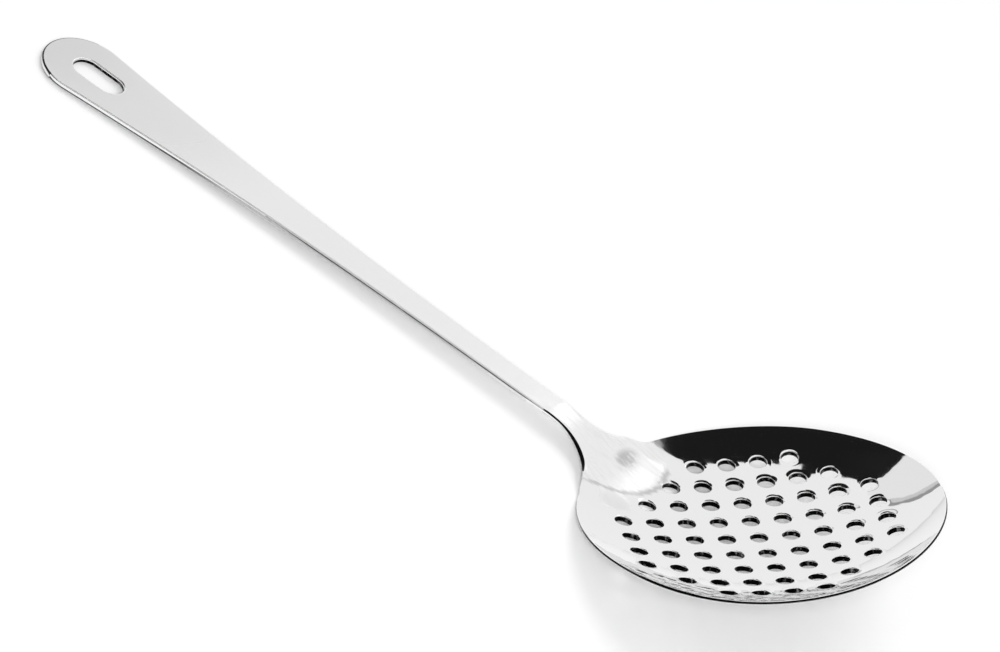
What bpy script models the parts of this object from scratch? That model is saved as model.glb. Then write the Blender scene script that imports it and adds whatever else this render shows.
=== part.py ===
"""A stainless-steel skimmer: a pressed, perforated bowl welded to a flat strip handle.

The skimmer is drawn in the bowl's own frame: the rim lies level round the origin and the handle
leaves towards -X. An empty then lays the finished skimmer down as it rests on a table, on the heel
of its bowl and the end of its handle, with the middle of its footprint at the world's origin.
"""
import math

import bpy
import bmesh
from mathutils import Vector
from mathutils.geometry import delaunay_2d_cdt

# Driving dimensions, in metres and radians

# Bowl, an egg-shaped dish that is widest and deepest a little ahead of its middle
BOWL_LENGTH = 0.1090
BOWL_WIDTH = 0.1160
WIDEST_AHEAD = 0.0056
DEEPEST_AHEAD = 0.0085
DISH_DEPTH = 0.0099
WALL_SHARE = 0.42
BOWL_GAUGE = 0.0010

# Heel, where the dish sags a little towards the neck
HEEL_DROP = 0.0010
HEEL_START = 0.010
HEEL_RUN = 0.035

# Drain holes, punched on a square grid inside an oval field
HOLE_DIAMETER = 0.0055
HOLE_PITCH = 0.010
GRID_TURN = math.radians(43.5)
GRID_AHEAD = 0.0010
FIELD_MARGIN_SIDES = 0.0105
FIELD_MARGIN_ENDS = 0.0130

# Neck, from its foot inside the rim to where the straight handle starts
NECK_INSIDE_RIM = 0.0214
NECK_OUTSIDE_RIM = 0.0162
NECK_WIDTH = 0.0096
NECK_FILLET = 0.0149
TONGUE_FLAT_WIDTH = 0.0243
TONGUE_FADE = 0.0103

# Handle
HANDLE_LENGTH = 0.2001
HANDLE_RISE = math.radians(22.6)
HANDLE_START_HEIGHT = 0.01495
HANDLE_GAUGE = 0.0020
HANDLE_TAPER = 0.025
HANDLE_END_WIDTH = 0.0285
FLARE_POWER = 2.3
SLOT_LENGTH = 0.0184
SLOT_WIDTH = 0.0094
SLOT_TO_END = 0.0102

# Weld
WELD_OUTSIDE_RIM = 0.0050
WELD_LENGTH = 0.0024
JOIN_GAP = 0.0003

# Facets
RIM_SEGMENTS = 96
HOLE_SEGMENTS = 16
FILLET_SEGMENTS = 8
EDGE_SEGMENTS = 22
ROUND_SEGMENTS = 24
CROSS_SEGMENTS = 6
RING_SEGMENTS = 48
NECK_GRID = 0.0032
PRESS_STEP = 0.0005
SLOPE_PROBE = 0.0001
SMOOTH_ANGLE = math.radians(35)

# Sizes that follow from the driving dimensions

HALF_LENGTH = BOWL_LENGTH / 2
HALF_WIDTH = BOWL_WIDTH / 2
NECK_FOOT = HALF_LENGTH - NECK_INSIDE_RIM
NECK_TOP = HALF_LENGTH + NECK_OUTSIDE_RIM
NECK_REACH = TONGUE_FLAT_WIDTH / 2 + TONGUE_FADE
WELD_NEAR = HALF_LENGTH + WELD_OUTSIDE_RIM
WELD_FAR = WELD_NEAR + WELD_LENGTH
END_RADIUS = HANDLE_END_WIDTH / 2
END_CENTRE = HANDLE_LENGTH - END_RADIUS
SLOT_RADIUS = SLOT_WIDTH / 2
SLOT_CENTRE = HANDLE_LENGTH - SLOT_TO_END - SLOT_LENGTH / 2


# The pressed surface

def smooth_step(u):
    """Rises from 0 to 1 without a corner while u goes from 0 to 1."""
    u = min(max(u, 0.0), 1.0)
    return u * u * (3 - 2 * u)


def dish_height(x, y):
    """Inside face of the dish: flat round its deepest point, steeper towards the rim."""
    side = y / HALF_WIDTH
    inside = 1 - (x / HALF_LENGTH) ** 2 - side ** 2
    ahead = (x - WIDEST_AHEAD * side ** 2 - DEEPEST_AHEAD * inside) / HALF_LENGTH
    share = ahead ** 2 + side ** 2
    sag = HEEL_DROP * smooth_step((-x - HEEL_START) / HEEL_RUN)
    return -DISH_DEPTH * (1 - (1 - WALL_SHARE) * share - WALL_SHARE * share ** 2) - sag


def handle_height(x):
    """Upper face of the straight handle, as a plane that rises away from the bowl."""
    return HANDLE_START_HEIGHT + (-x - NECK_TOP) * math.tan(HANDLE_RISE)


def top_height(x, y):
    """Upper face of the whole skimmer over a point of its plan."""
    if -x >= NECK_TOP:
        return handle_height(x)
    raised = smooth_step((-x - NECK_FOOT) / (NECK_TOP - NECK_FOOT))
    raised *= smooth_step((NECK_REACH - abs(y)) / TONGUE_FADE)
    dish = dish_height(x, y)
    return dish + (handle_height(x) - dish) * raised


def gauge(x):
    """Metal thickness: the bowl's sheet, then the handle's foot thickening to the full strip."""
    return BOWL_GAUGE + (HANDLE_GAUGE - BOWL_GAUGE) * smooth_step((-x - WELD_FAR) / HANDLE_TAPER)


def face_pair(x, y):
    """A point of the upper face and the point of the lower face straight through the metal."""
    run = 2 * SLOPE_PROBE
    slope_x = (top_height(x + SLOPE_PROBE, y) - top_height(x - SLOPE_PROBE, y)) / run
    slope_y = (top_height(x, y + SLOPE_PROBE) - top_height(x, y - SLOPE_PROBE)) / run
    normal = Vector((-slope_x, -slope_y, 1)).normalized()
    upper = Vector((x, y, top_height(x, y)))
    return upper, upper - normal * gauge(x)


def pressed(u, v):
    """Where a point of the flat punched blank lands in plan once the dish is pressed."""
    target = math.hypot(u, v)
    if target < PRESS_STEP:
        return GRID_AHEAD + u, v
    cosine = u / target
    sine = v / target
    radius = 0.0
    length = 0.0
    height = top_height(GRID_AHEAD, 0)
    while True:
        ahead = radius + PRESS_STEP
        next_height = top_height(GRID_AHEAD + ahead * cosine, ahead * sine)
        stretch = math.hypot(PRESS_STEP, next_height - height)
        if length + stretch >= target:
            radius += PRESS_STEP * (target - length) / stretch
            return GRID_AHEAD + radius * cosine, radius * sine
        radius = ahead
        length += stretch
        height = next_height


# Outlines in plan

def rim_point(angle, inset=0.0):
    """A point of the egg-shaped rim, or of a ring set in from it."""
    x = (HALF_LENGTH - inset) * math.cos(angle) + WIDEST_AHEAD * math.sin(angle) ** 2
    return x, (HALF_WIDTH - inset) * math.sin(angle)


def rolled_fillet(angle):
    """Centre of the neck's fillet circle when it touches the rim at an angle."""
    x, y = rim_point(angle)
    out_x = HALF_WIDTH * math.cos(angle)
    out_y = (HALF_LENGTH - 2 * WIDEST_AHEAD * math.cos(angle)) * math.sin(angle)
    reach = NECK_FILLET / math.hypot(out_x, out_y)
    return x + out_x * reach, y + out_y * reach


def fillet_contact():
    """The rim's angle where the fillet circle touches both the rim and the neck's edge."""
    low = math.pi / 2
    high = math.pi
    for _ in range(50):
        middle = (low + high) / 2
        if rolled_fillet(middle)[1] > NECK_WIDTH / 2 + NECK_FILLET:
            low = middle
        else:
            high = middle
    return low


FILLET_CONTACT = fillet_contact()
FILLET_X, FILLET_Y = rolled_fillet(FILLET_CONTACT)


def arc(centre_x, centre_y, radius, start, end, count):
    """Points along a circle from one angle to another, both ends included."""
    angles = [start + (end - start) * i / count for i in range(count + 1)]
    return [(centre_x + radius * math.cos(a), centre_y + radius * math.sin(a)) for a in angles]


def crossing(x, half_width):
    """Points between two mirrored edges, from +Y to -Y, both ends left out."""
    steps = range(1, CROSS_SEGMENTS)
    return [(x, half_width * (1 - 2 * i / CROSS_SEGMENTS)) for i in steps]


def mirrored(points):
    """The same edge on the other side of the handle's axis, walked back."""
    return [(x, -y) for x, y in reversed(points)]


def neck_half_width(x):
    """Half-width where the fillet runs from the bowl's rim into the handle."""
    reach = min(x - FILLET_X, NECK_FILLET)
    if reach <= 0:
        return NECK_WIDTH / 2
    return FILLET_Y - math.sqrt(NECK_FILLET ** 2 - reach ** 2)


def neck_edge(x_from, x_to):
    """Edge of the neck on its +Y side between two places along it."""
    count = FILLET_SEGMENTS
    places = [x_from + (x_to - x_from) * i / count for i in range(count + 1)]
    return [(x, neck_half_width(x)) for x in places]


def end_turn():
    """How far past square the round end starts, so that it runs on from the flared edge."""
    turn = 0.0
    for _ in range(50):
        half_width = END_RADIUS * math.cos(turn)
        run = END_CENTRE - END_RADIUS * math.sin(turn)
        turn = math.atan((half_width - NECK_WIDTH / 2) * FLARE_POWER / run)
    return turn


def flared_edge(turn):
    """Edge of the strip as distance along it and half-width: slim, then flaring to its end."""
    run = END_CENTRE - END_RADIUS * math.sin(turn)
    widening = END_RADIUS * math.cos(turn) - NECK_WIDTH / 2
    shares = [i / EDGE_SEGMENTS for i in range(1, EDGE_SEGMENTS + 1)]
    return [(run * share, NECK_WIDTH / 2 + widening * share ** FLARE_POWER) for share in shares]


def along_handle(points):
    """Points given as distance along the strip and across it, put into plan."""
    return [(-NECK_TOP - s * math.cos(HANDLE_RISE), y) for s, y in points]


def bowl_outline():
    count = RIM_SEGMENTS // 2
    rim = [rim_point(FILLET_CONTACT * i / count) for i in range(count + 1)]
    flare = neck_edge(rim[-1][0], -WELD_NEAR)[1:]
    edge = rim + flare
    return edge + crossing(-WELD_NEAR, edge[-1][1]) + mirrored(edge[1:])


def weld_outline():
    near = -WELD_NEAR - JOIN_GAP
    far = -WELD_FAR + JOIN_GAP
    edge = neck_edge(near, far)
    front = [(x, -y) for x, y in crossing(near, edge[0][1])]
    return edge + crossing(far, edge[-1][1]) + mirrored(edge) + front


def handle_outline():
    turn = end_turn()
    edge = neck_edge(-WELD_FAR, -NECK_TOP) + along_handle(flared_edge(turn))
    start = math.pi / 2 + turn
    end = arc(END_CENTRE, 0, END_RADIUS, start, -start, ROUND_SEGMENTS)
    foot = [(x, -y) for x, y in crossing(-WELD_FAR, edge[0][1])]
    return edge + along_handle(end[1:-1]) + mirrored(edge) + foot


def slot_outline():
    run = SLOT_LENGTH / 2 - SLOT_RADIUS
    half = ROUND_SEGMENTS // 2
    far = arc(SLOT_CENTRE + run, 0, SLOT_RADIUS, math.pi / 2, -math.pi / 2, half)
    near = arc(SLOT_CENTRE - run, 0, SLOT_RADIUS, -math.pi / 2, -3 * math.pi / 2, half)
    return along_handle(far + near)


def grid_point(i, j):
    """A place on the square punching grid, on the flat blank."""
    u = i * HOLE_PITCH
    v = j * HOLE_PITCH
    cosine = math.cos(GRID_TURN)
    sine = math.sin(GRID_TURN)
    return u * cosine + v * sine, u * sine - v * cosine


def grid_range():
    reach = int(HALF_WIDTH / HOLE_PITCH) + 1
    return [(i, j) for i in range(-reach, reach + 1) for j in range(-reach, reach + 1)]


def hole_centres():
    """Grid places inside the oval field, whose axes run along the grid's diagonals."""
    field_sides = HALF_WIDTH - FIELD_MARGIN_SIDES
    field_ends = HALF_LENGTH - FIELD_MARGIN_ENDS
    diagonal = HOLE_PITCH / math.sqrt(2)
    centres = []
    for i, j in grid_range():
        side = (i - j) * diagonal / field_sides
        end = (i + j) * diagonal / field_ends
        if side ** 2 + end ** 2 <= 1:
            centres.append(grid_point(i, j))
    return centres


def hole_outline(centre):
    turn = 2 * math.pi / HOLE_SEGMENTS
    circle = arc(centre[0], centre[1], HOLE_DIAMETER / 2, 0, 2 * math.pi - turn, HOLE_SEGMENTS - 1)
    return [pressed(u, v) for u, v in circle]


# Points inside the outlines, which carry the curved surface between the edges

def in_loop(point, loop):
    """Whether a point lies inside a closed outline."""
    x, y = point
    inside = False
    for (xa, ya), (xb, yb) in zip(loop, loop[1:] + loop[:1]):
        if (ya > y) != (yb > y) and x < xa + (y - ya) * (xb - xa) / (yb - ya):
            inside = not inside
    return inside


def clear_of(point, loops, distance):
    """Whether a point keeps its distance from every corner of some outlines."""
    x, y = point
    return all(math.hypot(x - a, y - b) > distance for loop in loops for a, b in loop)


def in_neck(point):
    """Whether a point of the plan lies on the tongue or the neck."""
    return -point[0] > NECK_FOOT and abs(point[1]) < NECK_REACH


def dish_points():
    """Places between the holes, and a ring on the wall outside them."""
    points = []
    for i, j in grid_range():
        points.append(pressed(*grid_point(i + 0.5, j + 0.5)))
        points.append(pressed(*grid_point(i, j)))
    inset = FIELD_MARGIN_SIDES / 2
    points += [rim_point(2 * math.pi * i / RING_SEGMENTS, inset) for i in range(RING_SEGMENTS)]
    return [p for p in points if not in_neck(p)]


def tongue_points():
    """A closer grid where the dish rises into the neck."""
    rows = int((WELD_NEAR - NECK_FOOT) / NECK_GRID)
    columns = int(NECK_REACH / NECK_GRID)
    points = []
    for row in range(1, rows + 1):
        for column in range(-columns, columns + 1):
            points.append((-WELD_NEAR + row * NECK_GRID, column * NECK_GRID))
    return points


def bowl_inner_points(outline, holes):
    clearance = HOLE_PITCH / 8
    inside = [p for p in dish_points() + tongue_points() if in_loop(p, outline)]
    solid = [p for p in inside if not any(in_loop(p, hole) for hole in holes)]
    return [p for p in solid if clear_of(p, [outline] + holes, clearance)]


def handle_inner_points(outline):
    """Two rows down the neck, where the strip bends and thickens."""
    rows = int((NECK_TOP - WELD_FAR + HANDLE_TAPER) / NECK_GRID)
    points = []
    for row in range(1, rows + 1):
        x = -WELD_FAR - row * NECK_GRID
        half = neck_half_width(x) / 2
        points += [(x, half), (x, -half)]
    return [p for p in points if clear_of(p, [outline], NECK_GRID / 4)]


# Sheet metal

def flat_triangles(loops, inner_points):
    """Triangles between an outline and the openings in it, all facing up."""
    points = []
    edges = []
    for loop in loops:
        first = len(points)
        points += loop
        edges += [(first + i, first + (i + 1) % len(loop)) for i in range(len(loop))]
    points += inner_points
    flat = [Vector(p) for p in points]
    verts, _, faces, _, _, _ = delaunay_2d_cdt(flat, edges, [], 0, 1e-7)
    kept = []
    for a, b, c in faces:
        middle = tuple((verts[a] + verts[b] + verts[c]) / 3)
        if in_loop(middle, loops[0]) and not any(in_loop(middle, hole) for hole in loops[1:]):
            facing_up = (verts[b] - verts[a]).cross(verts[c] - verts[a]) > 0
            kept.append((a, b, c) if facing_up else (a, c, b))
    return verts, kept


def sheet_metal(name, loops, inner_points, material):
    """A pressed sheet: both faces follow the surface, with a wall round every edge."""
    verts, triangles = flat_triangles(loops, inner_points)
    mesh = bmesh.new()
    pairs = [face_pair(v.x, v.y) for v in verts]
    upper = [mesh.verts.new(pair[0]) for pair in pairs]
    lower = [mesh.verts.new(pair[1]) for pair in pairs]
    directed = set()
    for a, b, c in triangles:
        mesh.faces.new((upper[a], upper[b], upper[c]))
        mesh.faces.new((lower[c], lower[b], lower[a]))
        directed |= {(a, b), (b, c), (c, a)}
    for a, b in sorted(directed):
        if (b, a) not in directed:
            mesh.faces.new((upper[b], upper[a], lower[a], lower[b]))
    loose = [v for v in mesh.verts if not v.link_faces]
    bmesh.ops.delete(mesh, geom=loose, context='VERTS')
    data = bpy.data.meshes.new(name)
    mesh.to_mesh(data)
    mesh.free()
    data.materials.append(material)
    data.shade_smooth()
    data.set_sharp_from_angle(angle=SMOOTH_ANGLE)
    piece = bpy.data.objects.new(name, data)
    bpy.context.collection.objects.link(piece)
    return piece


def steel(name, grey, roughness):
    material = bpy.data.materials.new(name)
    material.use_nodes = True
    shader = material.node_tree.nodes["Principled BSDF"]
    shader.inputs["Base Color"].default_value = (grey, grey, grey, 1)
    shader.inputs["Metallic"].default_value = 1.0
    shader.inputs["Roughness"].default_value = roughness
    return material


# Pieces

def make_bowl():
    outline = bowl_outline()
    holes = [hole_outline(centre) for centre in hole_centres()]
    inner = bowl_inner_points(outline, holes)
    return sheet_metal("bowl", [outline] + holes, inner, steel("polished_steel", 0.86, 0.06))


def make_handle():
    outline = handle_outline()
    inner = handle_inner_points(outline)
    return sheet_metal("handle", [outline, slot_outline()], inner, steel("satin_steel", 0.80, 0.28))


def make_weld():
    return sheet_metal("neck_weld", [weld_outline()], [], steel("dressed_weld_steel", 0.78, 0.32))


# Rest pose

def lay_down(pieces):
    """Turns the skimmer onto its heel and handle end and sets it on the world's origin."""
    points = [v.co.copy() for piece in pieces for v in piece.data.vertices]
    end = min(points, key=lambda p: (round(p.x, 6), p.z))
    ahead = [p for p in points if p.x > -NECK_TOP]
    heel = max(ahead, key=lambda p: (end.z - p.z) / (p.x - end.x))
    tilt = math.atan2(end.z - heel.z, heel.x - end.x)
    cosine = math.cos(tilt)
    sine = math.sin(tilt)
    turned = [(p.x * cosine - p.z * sine, p.x * sine + p.z * cosine) for p in points]
    lengths = [x for x, _ in turned]
    lowest = min(z for _, z in turned)
    rest = bpy.data.objects.new("rest_pose", None)
    bpy.context.collection.objects.link(rest)
    rest.rotation_euler = (0, -tilt, 0)
    rest.location = (-(min(lengths) + max(lengths)) / 2, 0, -lowest)
    for piece in pieces:
        piece.parent = rest


def main():
    for item in list(bpy.data.objects):
        bpy.data.objects.remove(item)
    lay_down([make_bowl(), make_handle(), make_weld()])


main()
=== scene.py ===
"""The looks of the skimmer: smooth pressed sheet metal with rounded edges, studio floor and light.

The pieces are drawn in the bowl's own frame, where the rim lies level round the origin and the handle
leaves towards -X, and are then laid down onto the frame's solids. Sizes are in metres.
"""
import math

import bpy
import numpy as np
from mathutils import Matrix, Vector
from mathutils.geometry import delaunay_2d_cdt


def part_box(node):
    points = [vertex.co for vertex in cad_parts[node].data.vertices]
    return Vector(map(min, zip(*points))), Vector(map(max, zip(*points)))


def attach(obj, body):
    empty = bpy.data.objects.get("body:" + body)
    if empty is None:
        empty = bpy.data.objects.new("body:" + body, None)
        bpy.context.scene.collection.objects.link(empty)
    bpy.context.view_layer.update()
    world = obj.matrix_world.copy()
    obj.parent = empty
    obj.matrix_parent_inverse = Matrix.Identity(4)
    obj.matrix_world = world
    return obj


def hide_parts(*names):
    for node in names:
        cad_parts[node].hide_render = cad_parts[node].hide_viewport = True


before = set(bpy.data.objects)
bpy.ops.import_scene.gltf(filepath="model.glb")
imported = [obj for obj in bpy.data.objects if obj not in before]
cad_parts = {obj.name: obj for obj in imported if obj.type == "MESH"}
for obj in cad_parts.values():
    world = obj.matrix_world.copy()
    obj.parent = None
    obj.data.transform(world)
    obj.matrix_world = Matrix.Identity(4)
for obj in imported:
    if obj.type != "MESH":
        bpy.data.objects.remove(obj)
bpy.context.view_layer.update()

# Sizes of the solids

HALF_LENGTH = 0.1090 / 2
HALF_WIDTH = 0.1160 / 2
WIDEST_AHEAD = 0.0056
DEEPEST_AHEAD = 0.0085
DISH_DEPTH = 0.0099
WALL_SHARE = 0.42
BOWL_GAUGE = 0.0010
HEEL_DROP = 0.0010
HEEL_START = 0.010
HEEL_RUN = 0.035

HOLE_RADIUS = 0.0055 / 2
HOLE_PITCH = 0.010
GRID_TURN = math.radians(43.5)
GRID_AHEAD = 0.0010
GRID_REACH = 6
FIELD_SIDES = HALF_WIDTH - 0.0105
FIELD_ENDS = HALF_LENGTH - 0.0130

NECK_FOOT = HALF_LENGTH - 0.0214
NECK_TOP = HALF_LENGTH + 0.0162
NECK_HALF_WIDTH = 0.0096 / 2
NECK_FILLET = 0.0149
TONGUE_FADE = 0.0103
TONGUE_REACH = 0.0243 / 2 + TONGUE_FADE

HANDLE_LENGTH = 0.2001
HANDLE_RISE = math.radians(22.6)
HANDLE_START_HEIGHT = 0.01495
HANDLE_GAUGE = 0.0020
HANDLE_TAPER = 0.025
END_RADIUS = 0.0285 / 2
END_CENTRE = HANDLE_LENGTH - END_RADIUS
FLARE_POWER = 2.3
SLOT_LENGTH = 0.0184
SLOT_MARGIN = 0.0102
SLOT_RADIUS = 0.0094 / 2
SLOT_HALF_RUN = SLOT_LENGTH / 2 - SLOT_RADIUS
SLOT_CENTRE = HANDLE_LENGTH - SLOT_MARGIN - SLOT_LENGTH / 2
TIP_X = -NECK_TOP - HANDLE_LENGTH * math.cos(HANDLE_RISE)

WELD_NEAR = HALF_LENGTH + 0.0050
WELD_FAR = WELD_NEAR + 0.0024

REST_TILT = math.radians(24.0)

# Sizes of the finish

RIM_ROUND = 0.00015
NECK_ROUND = 0.00070
STRIP_ROUND = 0.00040
HOLE_ROUND = 0.00016
HOLE_ROLL = 0.00017
HOLE_BURR = 0.00090
HOLE_BURNISH = 0.05
SLOT_BURNISH = 0.15
RIM_BURNISH = 0.08
STRIP_BURNISH = 0.62
# Share of the wall along the strip's middle that is painted dark, as a painted dark reflection line.
DARK_LINE_SHARE = 0.36
FLARE_ROLL = 0.00030
ROLL_WIDTH = 0.0020
ROLL_SHARES = (0.15, 0.35, 0.60, 0.85)
ROUND_STEPS = 5
HOLE_POINTS = 40
RIM_POINTS = 240
FILLET_POINTS = 20
FLARE_POINTS = 120
END_POINTS = 72
CROSS_POINTS = 14
WELD_POINTS = 4
FINE_GRID = 0.0011
COARSE_GRID = 0.0030
PRESS_STEP = 0.0005
SLOPE_PROBE = 0.00002
SOLVE_STEPS = 50
MERGE_DISTANCE = 1e-9
LEAST_LENGTH = 1e-12

# Where the cut edge changes, as places on the bowl frame's X and runs from there

ROLL_START = -0.050
ROLL_RISE = 0.006
ROLL_END = -0.072
ROLL_FALL = 0.014
NECK_ROUND_START = -0.0515
NECK_ROUND_RUN = 0.004
STRIP_ROUND_START = -0.057
STRIP_ROUND_RUN = 0.010
THICK_START = -0.066
THICK_RUN = 0.016
NECK_DARK_START = -0.0530
NECK_DARK_END = -0.0720
NECK_BRIGHT_START = -0.0605
NECK_BRIGHT_END = -0.078
LINE_END = -0.172
LINE_FADE = 0.020
STRIP_BURNISH_RUN = 0.050
TIP_EDGE = TIP_X + 0.009
TIP_BURNISH_START = TIP_X + 0.006
TIP_BURNISH_RUN = 0.006


# The pressed surface

def smooth_step(u):
    u = np.clip(u, 0.0, 1.0)
    return u * u * (3 - 2 * u)


def dish_height(x, y):
    """Inside face of the dish: flat round its deepest point, steeper towards the rim."""
    side = y / HALF_WIDTH
    inside = 1 - (x / HALF_LENGTH) ** 2 - side ** 2
    ahead = (x - WIDEST_AHEAD * side ** 2 - DEEPEST_AHEAD * inside) / HALF_LENGTH
    share = ahead ** 2 + side ** 2
    sag = HEEL_DROP * smooth_step((-x - HEEL_START) / HEEL_RUN)
    return -DISH_DEPTH * (1 - (1 - WALL_SHARE) * share - WALL_SHARE * share ** 2) - sag


def top_height(x, y):
    """Upper face of the whole skimmer over points of its plan."""
    plane = HANDLE_START_HEIGHT + (-x - NECK_TOP) * math.tan(HANDLE_RISE)
    raised = smooth_step((-x - NECK_FOOT) / (NECK_TOP - NECK_FOOT))
    raised = raised * smooth_step((TONGUE_REACH - np.abs(y)) / TONGUE_FADE)
    dish = dish_height(x, y)
    return np.where(-x >= NECK_TOP, plane, dish + (plane - dish) * raised)


def gauge(x):
    """Metal thickness: the bowl's sheet, then the handle's foot thickening to the full strip."""
    return BOWL_GAUGE + (HANDLE_GAUGE - BOWL_GAUGE) * smooth_step((-x - WELD_FAR) / HANDLE_TAPER)


def surface(xy):
    """Points of the upper face over a plan, with the face's normals."""
    x, y = xy[:, 0], xy[:, 1]
    run = 2 * SLOPE_PROBE
    slope_x = (top_height(x + SLOPE_PROBE, y) - top_height(x - SLOPE_PROBE, y)) / run
    slope_y = (top_height(x, y + SLOPE_PROBE) - top_height(x, y - SLOPE_PROBE)) / run
    normals = np.stack([-slope_x, -slope_y, np.ones_like(x)], 1)
    return np.stack([x, y, top_height(x, y)], 1), unit(normals)


def unit(vectors):
    return vectors / np.linalg.norm(vectors, axis=1, keepdims=True)


def pressed(uv):
    """Where points of the flat punched blank land in plan once the dish is pressed."""
    target = np.hypot(uv[:, 0], uv[:, 1])
    heading = uv / np.maximum(target, PRESS_STEP)[:, None]
    steps = int(HALF_WIDTH / PRESS_STEP) + 2
    radius = np.arange(steps)[None] * PRESS_STEP * np.ones((len(uv), 1))
    height = top_height(GRID_AHEAD + radius * heading[:, :1], radius * heading[:, 1:])
    stretch = np.hypot(PRESS_STEP, np.diff(height, axis=1))
    length = np.concatenate([np.zeros((len(uv), 1)), np.cumsum(stretch, axis=1)], 1)
    landed = np.array([np.interp(t, a, r) for t, a, r in zip(target, length, radius)])
    return heading * landed[:, None] + np.array([GRID_AHEAD, 0.0])


# A blank of sheet metal, collected as points in plan

FACE, EDGE, PUNCHED, SHEARED = range(4)


class Blank:
    """Plan points with how far a rounded edge has dropped there, which way it leans and its finish.

    A cut edge is burnished in its upper part and torn below, so each point also knows that upper share.
    """

    def __init__(self):
        self.xy = []
        self.drop = []
        self.lean = []
        self.roll = []
        self.kind = []
        self.burnish = []
        self.hole = []
        self.edges = []
        self.boundary = []

    def add(self, xy, drop=0.0, lean=None, roll=0.0, roll_lean=None, kind=FACE, hole=-1,
            burr=None, burnish=1.0):
        """Adds plan points and returns their numbers."""
        count = len(xy)
        rise = drop if burr is None else -burr
        first = len(self.xy)
        nothing = np.zeros((count, 2))
        self.xy += list(xy)
        self.drop += list(np.stack([np.broadcast_to(v, count) for v in (rise, drop + roll)], 1))
        self.lean += list(nothing if lean is None else lean)
        self.roll += list(nothing if roll_lean is None else roll_lean)
        self.kind += list(np.broadcast_to(kind, count))
        self.burnish += list(np.broadcast_to(burnish, count))
        self.hole += [hole] * count
        return list(range(first, first + count))

    def link(self, numbers, closed=False):
        """Joins points in their order, so that triangles keep to that line."""
        ends = numbers[1:] + numbers[:1] if closed else numbers[1:]
        self.edges += list(zip(numbers, ends))


def edge_rings(radius, kind):
    """Inset, drop, lean and finish of a quarter-round edge, from its wall to its face and over its roll."""
    rings = []
    for i in range(ROUND_STEPS):
        angle = math.pi / 2 * i / (ROUND_STEPS - 1)
        lean = math.cos(angle)
        rings.append((radius * (1 - lean), radius * (1 - math.sin(angle)), lean, kind))
    flush = 0 * radius
    rings[-1] = (radius, flush, 0.0, FACE)
    return rings + [(radius + (ROLL_WIDTH - radius) * share, flush, 0.0, FACE) for share in ROLL_SHARES]


def rolled(depth, inset):
    """How deep the upper face is drawn down beside a punched edge, and how steeply."""
    left = 1 - inset / ROLL_WIDTH
    return depth * left ** 3, 3 * depth / ROLL_WIDTH * left ** 2


def neck_roll(x):
    """The edge is drawn down most along the flare, where the tongue was bent up."""
    return FLARE_ROLL * smooth_step((x - ROLL_END) / ROLL_FALL) * smooth_step((ROLL_START - x) / ROLL_RISE)


def edge_round(x):
    """Radius of a free edge from above: slight round the bowl, full on the neck, less on the handle."""
    neck = smooth_step((NECK_ROUND_START - x) / NECK_ROUND_RUN)
    strip = smooth_step((STRIP_ROUND_START - x) / STRIP_ROUND_RUN)
    return RIM_ROUND + (NECK_ROUND - RIM_ROUND) * neck + (STRIP_ROUND - NECK_ROUND) * strip


def under_round(x):
    """Radius of a free edge from below."""
    return RIM_ROUND + (STRIP_ROUND - RIM_ROUND) * smooth_step((THICK_START - x) / THICK_RUN)


def edge_kind(points):
    """A free edge takes the dark sheared finish on the neck's -Y side and at the tip, where its darkness is
    a painted dark reflection, and is polished elsewhere.
    """
    x, y = points[:, 0], points[:, 1]
    neck = (x > NECK_DARK_END) & (x < NECK_DARK_START) & (y < 0)
    return np.where(neck | (x < TIP_EDGE), SHEARED, EDGE)


def edge_burnish(x):
    """Upper share of a free edge: little round the bowl and at the tip, more along the strip; along the
    strip's middle it is the share of a painted dark reflection line.
    """
    line = smooth_step((THICK_START - x) / THICK_RUN) * smooth_step((x - LINE_END) / LINE_FADE)
    tip = smooth_step((x - TIP_BURNISH_START) / TIP_BURNISH_RUN)
    strip = smooth_step((LINE_END - x) / STRIP_BURNISH_RUN) * tip
    return RIM_BURNISH + (DARK_LINE_SHARE - RIM_BURNISH) * line + (STRIP_BURNISH - RIM_BURNISH) * strip


def add_outline(blank, chains):
    """Rounds the free edges of a blank and joins their ends by straight cuts across it.

    Each chain is a run of free edge as plan points and outward directions. A chain's end and the next
    one's start lie on one cut.
    """
    rings = []
    for points, outward in chains:
        ring = []
        along = points[:, 0]
        for inset, drop, lean, kind in edge_rings(edge_round(along), EDGE):
            roll, slope = rolled(neck_roll(along), inset)
            finish = edge_kind(points) if kind == EDGE else FACE
            under = -drop * under_round(along) / edge_round(along)
            numbers = blank.add(inset_chain(points, outward, inset), drop, outward * lean, roll,
                                outward * slope[:, None], finish, burr=under,
                                burnish=edge_burnish(along))
            blank.link(numbers)
            ring.append(numbers)
        rings.append(ring)
    for this, following in zip(rings, rings[1:] + rings[:1]):
        start = blank.xy[this[-1][-1]]
        end = blank.xy[following[-1][0]]
        shares = np.arange(1, CROSS_POINTS)[:, None] / CROSS_POINTS
        middle = blank.add(start + (end - start) * shares)
        cut = [numbers[-1] for numbers in this] + middle + [numbers[0] for numbers in following[::-1]]
        blank.link(cut)
        blank.boundary += this[0] + cut[1:-1]


def inset_chain(points, outward, inset):
    """A run of edge moved into the metal, with its two ends kept on their straight cuts."""
    moved = points - outward * inset[:, None]
    for i in (0, -1):
        moved[i] = points[i] - np.array([0.0, inset[i] / outward[i][1]])
    return moved


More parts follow.
